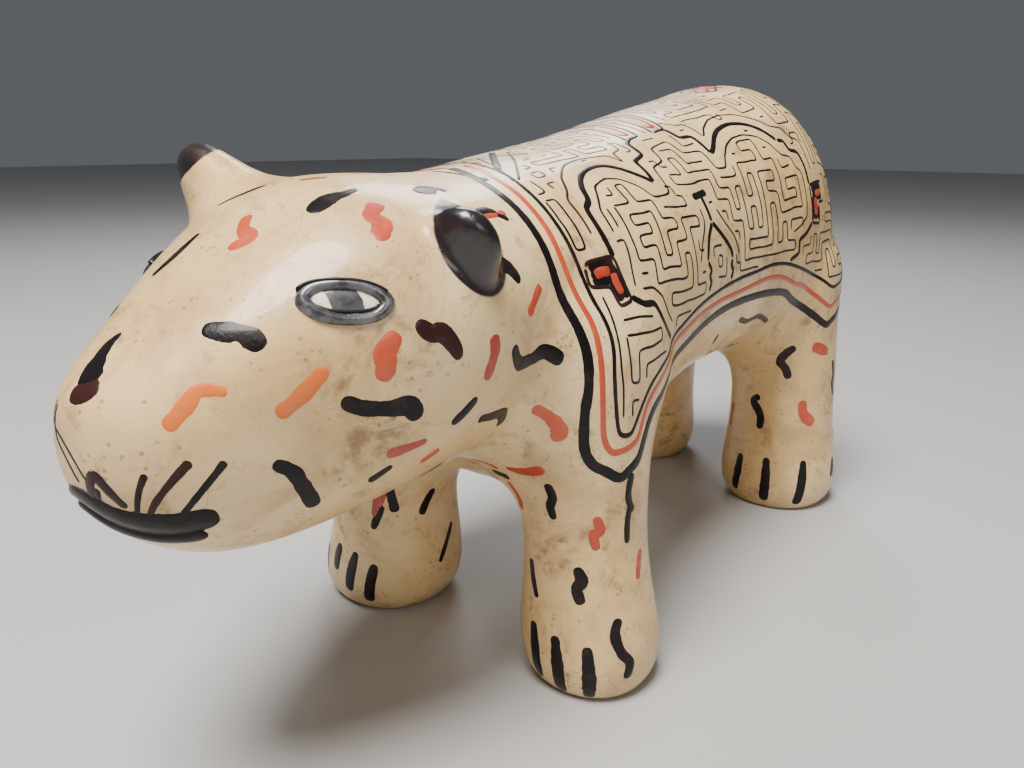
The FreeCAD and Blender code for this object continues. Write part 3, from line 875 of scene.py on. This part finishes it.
def eyeball(side, name, rings=9, spokes=40, rise=0.45):
    """A patch of the skin inside the rim, swollen a little, with its edge tucked under the rim."""
    points, faces = [], []
    middle = eye_place(side, 0, 0)
    outward = SKIN.find_nearest(middle)[1]
    points.append(middle + outward * rise * MM)
    for ring in range(1, rings + 1):
        share = ring / rings
        for spoke in range(spokes):
            place = eye_place(side, 2 * math.pi * spoke / spokes, share)
            lift = rise * (1 - share ** 3) * MM
            points.append(place + SKIN.find_nearest(place)[1] * lift)
    for spoke in range(spokes):
        after = (spoke + 1) % spokes
        faces.append((0, 1 + spoke, 1 + after))
        for ring in range(rings - 1):
            low, high = 1 + ring * spokes, 1 + (ring + 1) * spokes
            faces.append((low + spoke, high + spoke, high + after, low + after))
    mesh = bpy.data.meshes.new(name)
    mesh.from_pydata(points, [], faces)
    shell = bmesh.new()
    shell.from_mesh(mesh)
    shell.faces.ensure_lookup_table()
    bmesh.ops.recalc_face_normals(shell, faces=shell.faces)
    if shell.faces[0].normal.dot(outward) < 0:
        bmesh.ops.reverse_faces(shell, faces=shell.faces)
    shell.to_mesh(mesh)
    shell.free()
    mesh.shade_smooth()
    mesh.materials.append(GLAZE)
    piece = bpy.data.objects.new(name, mesh)
    bpy.context.scene.collection.objects.link(piece)
    return piece


def eye_line(side, first, last, share, half_width, flat=1.0):
    turns = [math.radians(first + (last - first) * i / 16) for i in range(17)]
    return [(eye_place(side, turn, share, flat), half_width) for turn in turns]


eye_rims, eyeballs, upper_paths, lower_paths = [], [], [], []
for side, word in ((1, "left"), (-1, "right")):
    turns = [2 * math.pi * i / 48 for i in range(48)]
    rim = [(eye_place(side, turn, 1.0), 1.25 + 0.45 * math.cos(turn) ** 2) for turn in turns]
    eye_rims.append(paint(f"eye_rim_{word}", [rim], LID, rise=1.35, sink=0.3, step=0.6, waver=0.25, closed=True))
    eyeballs.append(eyeball(side, f"eye_ball_{word}"))
    upper_paths.append(eye_line(side, 24, 150, 1.17, 0.62))
    lower_paths.append(eye_line(side, 198, 342, 0.84, 0.48, 0.72))
eye_lines = paint("eye_upper_lines", upper_paths, BLACK, rise=1.45, sink=0.1, step=0.5)
eye_lower_lines = paint("eye_lower_lines", lower_paths, BLACK, rise=0.80, sink=0.1, step=0.5)

# %% [markdown]
# ## The saddle of fine pattern
#
# A cloth of fine pattern is painted over the back, as a blanket lies on an animal. Its border is three lines:
# thick black, red, thin black. Inside it the painter first lays the bold lines, arches and frames, then fills
# everything between them with one winding line that never crosses itself.
#
# Places are stations and angles again. `SADDLE_DEGREE` is about how many millimetres one degree is on the side
# of the trunk, so that the filling is as wide as it is long.

# %% Lay out the saddle's border
SADDLE_DEGREE = 0.80
BORDER = {
    "outer": [(102.2, 0), (99, 13), (96.4, 25), (95.4, 36), (95.3, 50), (95.6, 62), (96.4, 80), (99.4, 96),
              (99.3, 106), (98.2, 114), (98.6, 122), (100.6, 125.6), (103.8, 126.4), (107.7, 127.2), (111.2, 125.8),
              (115, 124.2), (117.8, 121), (120.6, 117.6), (124.5, 115), (132, 113), (142, 110), (154, 106),
              (165, 103.2), (176, 101.2), (187, 100), (198, 99.4), (211, 99.4), (224, 101.2), (233, 106),
              (243, 110.6), (252, 114.8), (259.6, 118), (264, 116.8), (268.5, 115.6), (278, 112), (285, 105),
              (289, 95), (291, 80),
              (290, 60), (287, 38), (282, 19), (277, 0)],
    "middle": [(107, 0), (105.2, 8), (103.6, 16), (101.7, 25), (100.8, 35), (100, 46), (99.9, 57), (100, 67),
               (101, 78), (102.6, 90), (102.9, 98), (102.7, 106), (102.6, 112), (102.8, 118), (103.8, 121),
               (105.6, 122.3), (108.4, 122), (112, 121.3), (114.8, 120), (116.8, 117), (119.4, 113.2), (124, 110.4),
               (131, 107.8), (138, 105), (146, 102), (158, 98.6), (175, 96.3), (190, 95.2), (200, 93.7),
               (211, 92.5), (221, 94), (231, 98), (241, 101), (251, 106.4), (260.4, 111), (265, 110.2),
               (269, 109.2), (277, 106), (282.6, 100), (285.4, 92), (286, 78),
               (285, 60), (282, 38), (277.5, 19), (273, 0)],
    "inner": [(111, -6), (107.5, 14), (105.6, 28), (104.3, 38), (103.7, 50), (103.9, 60), (104.5, 70), (105.8, 82),
              (107, 94), (106.3, 104), (106.4, 111), (107, 116.6), (108.2, 118.6), (111.4, 118.8), (113.3, 117.2),
              (117.2, 112.4), (121.4, 108.6), (127, 106.2), (133, 104.4), (140, 101.4), (148, 98), (158, 94.6),
              (175, 91.3), (190, 89.2), (200, 88.3), (211, 87), (221, 87.8), (231, 90.5), (241, 94), (251, 98),
              (260.6, 102.8), (267, 102.4), (274, 100.6), (279, 96.4), (281.4, 90), (282.2, 76), (281, 58),
              (278, 38), (273.5, 19), (269.5, 0)],
}
# The bold figures of one side, each with its half width in millimetres, then the thin lines beside them.
ARCH_AHEAD = [(116.6, 71), (115.6, 60), (115.8, 52.5), (118.6, 49), (120.9, 42.4), (125.9, 36.3), (132.9, 33.6),
              (138.5, 35.2), (143.5, 40.5), (149, 46.8)]
ARCH_BEHIND = [(188, 38.6), (191, 36.8), (197, 31.8), (203, 29), (211, 28), (219, 29.9), (225, 33.6), (230, 39)]
BOLD_CURVES = [
    (ARCH_AHEAD, 1.05), (ARCH_BEHIND, 1.05), ([(107.4, 19), (114, 8), (121, -2), (127, -10)], 1.15),
    ([(170.3, 65), (166, 71), (163.5, 79)], 1.0), ([(170.3, 65), (176, 70.6), (180.8, 76), (182.3, 80)], 1.0),
]
BOLD_CORNERS = [
    ([(149, 46.8), (149.9, 42), (150.2, 35.2), (156.9, 32.6), (158.4, 23.8), (162, 21.2), (166.5, 20.4)], 0.95),
    ([(176, 20.6), (180.4, 21.2), (180.9, 28.4), (186.6, 28.8), (188, 38.6)], 0.95),
    ([(230, 39), (234, 39.4), (235, 43.4), (240.4, 44.4), (242.4, 50), (242.6, 57.4)], 0.95),
    ([(242.5, 72.4), (236.9, 76.8), (230.9, 78.8), (231.4, 84.6), (224, 86.8)], 0.95),
    ([(118.4, 84), (122.9, 87), (127.9, 87.4), (130.9, 93), (134, 97.4), (137.4, 100.6)], 1.1),
    ([(163.5, 79), (166.4, 82.6), (164.6, 84.6), (166.4, 87), (164.6, 90.6)], 1.0),
    ([(182.3, 80), (181.2, 83), (183, 85), (181.4, 88.8)], 0.95),
    ([(163.4, 55), (172.9, 53.4)], 1.25), ([(168.6, 54.4), (170.3, 65)], 1.0),
]
THIN_LINES = [
    [(106.2, 31), (112, 22), (118, 13), (124, 3), (128, -3)],
    [(104.4, 31), (107.5, 20), (112, 6), (116, -4)],
    [(112.4, 62), (112.2, 47), (115, 43), (118, 36), (122.2, 31), (126, 28), (132, 26.6), (138, 27.4), (144, 28.4),
     (145.8, 35), (147, 28), (152, 26.4), (154, 18)],
    [(120, 63), (119.8, 54), (122.2, 49.4), (125, 43.6), (131, 41), (136, 42.4), (141, 47.4), (144, 53), (153, 52.4),
     (154.4, 40), (161.8, 38), (163.4, 30), (173.9, 28), (174.4, 36), (184, 36.4), (185.4, 45), (191, 45.4),
     (194, 41), (199, 36.6), (205, 34.2), (212, 33.8), (219, 35.6), (224, 39.4), (228, 44.6), (233.6, 45.8),
     (235, 50), (238.4, 52), (238.6, 64), (237.4, 70), (232, 73), (226, 75)],
    [(172, 21), (173.6, 10), (177, -4)], [(183, 16), (186.6, 21), (190.6, 22), (192, 31), (196, 27), (203, 23.4),
     (211, 22.4), (219, 24), (226, 28), (232, 33), (238, 34.4), (240, 38.6), (245.6, 40), (247.4, 52)],
    [(158, 79), (161, 72), (165.6, 65), (165, 59)], [(187, 79), (184.6, 72), (179, 66), (175, 60)],
    [(124, 82.4), (129, 82.6), (133, 86), (135.6, 92), (139, 96)],
]
RED_BARS = [([(163.9, 18.6), (166.4, 10), (169.4, 0)], 2.1), ([(177.6, 18.6), (180.4, 10), (183.8, 0)], 2.1),
            ([(246.5, 61.2), (253.2, 60.2)], 1.5), ([(246.4, 62), (246.8, 66), (246.6, 70.4)], 2.1),
            ([(108.4, 75.4), (111, 74.4), (114.6, 74.8)], 1.75), ([(114.8, 75), (115, 79), (115.8, 83)], 1.6),
            ([(233, 4), (246, -3)], 2.0)]
FRAMES = [[(160.6, 21.6), (167.6, 20.6), (170.4, 10), (173.4, -1)], [(160.6, 21.6), (163.2, 9), (166.4, -1)],
          [(174.4, 21.6), (181.2, 20.6), (184.4, 10), (187.8, -1)], [(174.4, 21.6), (177.2, 9), (180.6, -1)],
          [(242.4, 57.6), (250, 56.4), (255.4, 56)], [(242.6, 57.6), (243.2, 66), (242.6, 73), (250.4, 73.4)],
          [(250, 64.6), (256, 64)], [(250.4, 73.4), (250.2, 65)],
          [(106.4, 72), (107.6, 70.4), (116.6, 70), (117.6, 78), (118.6, 85), (113.4, 86.2), (112.8, 79.6),
           (106.4, 78.8), (106.4, 72)],
          [(231, 2), (236, 7.4), (249, -1)], [(231, 2), (244, -6)]]
FRAME_GROUND = [([(107.2, 72.4), (116.2, 71.8)], 1.9), ([(107.4, 75.2), (116.8, 74.4)], 2.0),
                ([(107.4, 77.0), (117.0, 77.0)], 1.8), ([(114.0, 77), (114.8, 85.0)], 1.9),
                ([(116.1, 74), (117.2, 84.4)], 1.9), ([(243.8, 59.3), (254.2, 58.2)], 1.9),
                ([(244.0, 61.6), (254.2, 61.8)], 1.9), ([(244.2, 62), (244.2, 71.8)], 1.7),
                ([(247.0, 62), (246.6, 72.0)], 1.9), ([(249.0, 66), (248.8, 72.0)], 1.5)]


def mirrored(points):
    return [(station, -angle) for station, angle in points]


def both(paths):
    return [p for path in paths for p in (path, mirrored(path))]


def drawn(points, half_width, smooth=True):
    """A saddle line on the skin, its points a millimetre or so apart."""
    run = through(points, 8) if smooth else cornered(points)
    return [(body(*p), half_width) for p in run]


def cornered(points, radius=0.28):
    """Straight runs with rounded corners, as a loaded brush turns them."""
    run = [np.array(points[0], float)]
    for a, b, c in zip(points, points[1:], points[2:]):
        a, b, c = np.array(a, float), np.array(b, float), np.array(c, float)
        run += [b + (a - b) * radius, b + (a - b) * radius * 0.35 + (c - b) * radius * 0.10,
                b + (c - b) * radius * 0.35 + (a - b) * radius * 0.10, b + (c - b) * radius]
    run.append(np.array(points[-1], float))
    fine = []
    for a, b in zip(run, run[1:]):
        pieces = max(1, int(math.dist(a, b) / 1.5))
        fine += [a + (b - a) * i / pieces for i in range(pieces)]
    return fine + [run[-1]]


border_black = [drawn(half, 1.6) for half in both([BORDER["outer"]])]
border_black += [drawn(half, 0.75) for half in both([BORDER["inner"]])]
border_red = [drawn(half, 1.0) for half in both([BORDER["middle"]])]
bold = [drawn(path, width) for points, width in BOLD_CURVES for path in both([points])]
bold += [drawn(path, width, False) for points, width in BOLD_CORNERS for path in both([points])]
bold += [drawn(path, 0.62, False) for path in both(FRAMES)]
bold += [drawn(path, width, False) for points, width in FRAME_GROUND for path in both([points])]
thin = [drawn(path, 0.44, False) for path in both(THIN_LINES)]
bars = [drawn(path, width, False) for points, width in RED_BARS for path in both([points])]
print("border and bold lines", len(border_black) + len(bold), "thin", len(thin), "red", len(bars))

# %% [markdown]
# The filling is one winding line. A painter learns it as a rule: follow what is already there, one brush width
# away, and turn whenever the way is shut. The same thing comes out of walking round a random tree that fills
# the free ground: the walk never crosses itself and passes everywhere. Ground that is too narrow for the tree
# gets short hooks instead.

# %% Fill the saddle with the winding line
PITCH = 3.3                                # millimetres between neighbouring fine lines
START = (99.0, -96.0)                      # the corner of the ground, in millimetres along and round
COUNTS = (56, 58)                          # how many places along and round
ROOM = 0.42                                # share of the pitch kept free beside what is already drawn
FRAME_ROOM = 1.1
GO_ON = 0.6                                # how often the tree grows on from where it last grew
LONGEST_HOOK = 9
chance = random.Random(21)
noise.seed_set(21)                         # otherwise the line's wander would start from the clock


def flat(run):
    return np.array([(p[0], p[1] * SADDLE_DEGREE) for p in run])


def inside(outline, spot):
    """Whether a flat place is inside an outline."""
    x, y = spot
    a, b = outline, np.roll(outline, -1, axis=0)
    crosses = (a[:, 1] > y) != (b[:, 1] > y)
    at = a[:, 0] + (y - a[:, 1]) / np.where(b[:, 1] == a[:, 1], 1e-9, b[:, 1] - a[:, 1]) * (b[:, 0] - a[:, 0])
    return bool(np.count_nonzero(crosses & (x < at)) % 2)


half_outline = through(BORDER["inner"], 6)
GROUND = np.concatenate([flat(half_outline), flat(mirrored(half_outline[::-1]))])
keep_off = [(flat(run), 0.0) for run in (half_outline, mirrored(half_outline))]
for points, width in BOLD_CURVES:
    keep_off += [(flat(run), width) for run in (through(points, 8), mirrored(through(points, 8)))]
others = BOLD_CORNERS + RED_BARS + FRAME_GROUND
others += [(points, FRAME_ROOM) for points in FRAMES] + [(points, 0.0) for points in THIN_LINES]
for points, width in others:
    keep_off += [(flat(run), width) for run in (cornered(points), mirrored(cornered(points)))]
DRAWN = np.concatenate([run for run, _ in keep_off])
DRAWN_WIDTH = np.concatenate([np.full(len(run), width) for run, width in keep_off])


def free(place):
    i, j = place
    if not (0 <= i < COUNTS[0] and 0 <= j < COUNTS[1]):
        return False
    spot = np.array((START[0] + i * PITCH, START[1] + j * PITCH))
    gap = np.min(np.linalg.norm(DRAWN - spot, axis=1) - DRAWN_WIDTH)
    return gap > ROOM * PITCH and inside(GROUND, spot)


open_ground = {(i, j) for i in range(COUNTS[0]) for j in range(COUNTS[1]) if free((i, j))}
STEPS = ((1, 0), (-1, 0), (0, 1), (0, -1))
blocks = {(i, j) for i in range(0, COUNTS[0], 2) for j in range(0, COUNTS[1], 2)
          if all((i + di, j + dj) in open_ground for di in (0, 1) for dj in (0, 1))}
joined, seen = set(), set()
for first in sorted(blocks):
    if first in seen:
        continue
    seen.add(first)
    edge = [first]
    while edge:
        here = edge[-1] if chance.random() < GO_ON else chance.choice(edge)
        ways = [(here[0] + 2 * di, here[1] + 2 * dj) for di, dj in STEPS]
        ways = [w for w in ways if w in blocks and w not in seen]
        if not ways:
            edge.remove(here)
            continue
        there = chance.choice(ways)
        seen.add(there)
        joined.add(frozenset((here, there)))
        edge.append(there)


def linked(block, di, dj):
    return frozenset((block, (block[0] + 2 * di, block[1] + 2 * dj))) in joined


links = {}


def link(a, b):
    links.setdefault(a, []).append(b)
    links.setdefault(b, []).append(a)


for i, j in sorted(blocks):
    if linked((i, j), 1, 0):
        link((i + 1, j), (i + 2, j))
        link((i + 1, j + 1), (i + 2, j + 1))
    else:
        link((i + 1, j), (i + 1, j + 1))
    if not linked((i, j), -1, 0):
        link((i, j), (i, j + 1))
    if linked((i, j), 0, 1):
        link((i, j + 1), (i, j + 2))
        link((i + 1, j + 1), (i + 1, j + 2))
    else:
        link((i, j + 1), (i + 1, j + 1))
    if not linked((i, j), 0, -1):
        link((i, j), (i + 1, j))

windings, walked = [], set()
for first in sorted(links):
    if first in walked:
        continue
    walk, here = [first], first
    walked.add(first)
    while True:
        ways = [w for w in links[here] if w not in walked]
        if not ways:
            break
        here = ways[0]
        walked.add(here)
        walk.append(here)
    windings.append(walk + [first])

left_over = open_ground - walked
while left_over:
    here = min(left_over, key=lambda p: (sum((p[0] + a, p[1] + b) in left_over for a, b in STEPS), p))
    hook = [here]
    left_over.discard(here)
    while len(hook) < LONGEST_HOOK:
        ways = [(here[0] + a, here[1] + b) for a, b in STEPS if (here[0] + a, here[1] + b) in left_over]
        if not ways:
            break
        here = chance.choice(ways)
        left_over.discard(here)
        hook.append(here)
    if len(hook) > 1:
        windings.append(hook)


def by_hand(place):
    """A place of the ground moved a little, as an unruled line wanders."""
    along, round_it = START[0] + place[0] * PITCH, START[1] + place[1] * PITCH
    wander = noise.noise_vector(Vector((along / 9, round_it / 9, 3.0))) * 0.75
    shake = noise.noise_vector(Vector((along / 2.7, round_it / 2.7, 9.0))) * 0.28
    return along + wander.x + shake.x, (round_it + wander.y + shake.y) / SADDLE_DEGREE


fine = [[(body(*p), 0.42) for p in cornered([by_hand(place) for place in walk], 0.40)] for walk in windings]
print("winding lines", len(fine), "places", len(open_ground))

saddle_border_black = paint("saddle_border_black", border_black, BLACK, step=1.0, waver=0.35)
saddle_border_red = paint("saddle_border_red", border_red, RED, step=1.0, waver=0.35)
saddle_red = paint("saddle_red_bars", bars, RED, rise=0.24, sink=0.02, waver=0.2)
saddle_bold = paint("saddle_bold_lines", bold, BLACK, rise=0.15, waver=0.35)
saddle_thin = paint("saddle_thin_lines", thin, BLACK, rise=0.09, sink=0.04, waver=0.5)
saddle_fine = paint("saddle_winding_line", fine, BLACK, rise=0.09, sink=0.04, step=0.75, waver=0.5)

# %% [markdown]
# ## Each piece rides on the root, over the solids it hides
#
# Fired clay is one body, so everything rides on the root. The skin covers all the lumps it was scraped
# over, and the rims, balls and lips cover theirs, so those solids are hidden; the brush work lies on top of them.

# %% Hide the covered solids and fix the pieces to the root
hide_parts("trunk_shell", "head_shell", "left_ear", "right_ear", "tail",
            *[limb + part for limb in LEGS for part in ("_leg", "_sole")])
for rim, ball, word in zip(eye_rims, eyeballs, ("left", "right")):
    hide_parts(word + "_eyelid")
    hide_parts(word + "_eyeball")
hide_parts("upper_lip")
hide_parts("lower_lip")
for piece in (skin, *eye_rims, *eyeballs, eye_lines, eye_lower_lines, upper_lip, lower_lip,
              seam_lines, spots_black, spots_red,
              spots_orange, saddle_border_black, saddle_border_red, saddle_red, saddle_bold, saddle_thin,
              saddle_fine):
    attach(piece, "root")

# %% [markdown]
# ## Floor, light and camera
#
# The figure stands on a plain pale floor. One large soft light hangs above it on the camera's left, a second,
# weaker one fills from the right, and a third from behind draws the sheen along the back.

# %% Set the stage
def pale_floor():
    material, tree, place = finish("pale_floor")
    soft = tree.noise(place, 3.0, 3.0)
    fine = tree.noise(place, 300.0, 2.0)
    colour = tree.colour(soft, (0.46, 0.46, 0.46, 1), (0.42, 0.42, 0.425, 1))
    surface(tree, colour, (0.60 + fine * 0.15).clamped(), (fine * 0.05).clamped(),
            bumped(tree, fine, 0.05, 0.0002))
    return material


floor_mesh = bpy.data.meshes.new("floor")
floor_mesh.from_pydata([(-4, -4, 0), (4, -4, 0), (4, 4, 0), (-4, 4, 0)], [], [(0, 1, 2, 3)])
floor_mesh.materials.append(pale_floor())
floor = bpy.data.objects.new("floor", floor_mesh)
bpy.context.scene.collection.objects.link(floor)


def soft_light(name, place, size, power, tint=(1.0, 1.0, 1.0)):
    lamp = bpy.data.lights.new(name, "AREA")
    lamp.shape = "DISK"
    lamp.size = size
    lamp.energy = power
    lamp.color = tint
    light = bpy.data.objects.new(name, lamp)
    light.location = place
    light.rotation_euler = (Vector((0.0, -0.02, 0.08)) - Vector(place)).to_track_quat("-Z", "Y").to_euler()
    bpy.context.scene.collection.objects.link(light)


soft_light("key", (0.05, -0.45, 1.20), 0.60, 37.0, (1.0, 0.96, 0.90))
soft_light("fill", (0.95, -0.35, 0.60), 0.50, 2.2, (1.0, 0.97, 0.93))
soft_light("back", (-0.55, 0.70, 0.80), 0.50, 5.0, (0.92, 0.96, 1.0))
world = bpy.data.worlds.new("studio")
world.use_nodes = True
world.node_tree.nodes["Background"].inputs["Color"].default_value = (0.80, 0.84, 0.90, 1)
world.node_tree.nodes["Background"].inputs["Strength"].default_value = 0.14
bpy.context.scene.world = world

camera = bpy.data.objects.new("camera", bpy.data.cameras.new("camera"))
camera.data.lens = 30.0
camera.data.sensor_width = 36.0
camera.data.clip_start = 0.01
turn, lift, roll = math.radians(38.5), math.radians(16.2), math.radians(0.3)
camera.matrix_world = (Matrix.Translation((0.1522, -0.2157, 0.1428)) @ Matrix.Rotation(turn, 4, "Z")
                       @ Matrix.Rotation(math.pi / 2 - lift, 4, "X") @ Matrix.Rotation(roll, 4, "Z"))
bpy.context.scene.collection.objects.link(camera)
bpy.context.scene.camera = camera
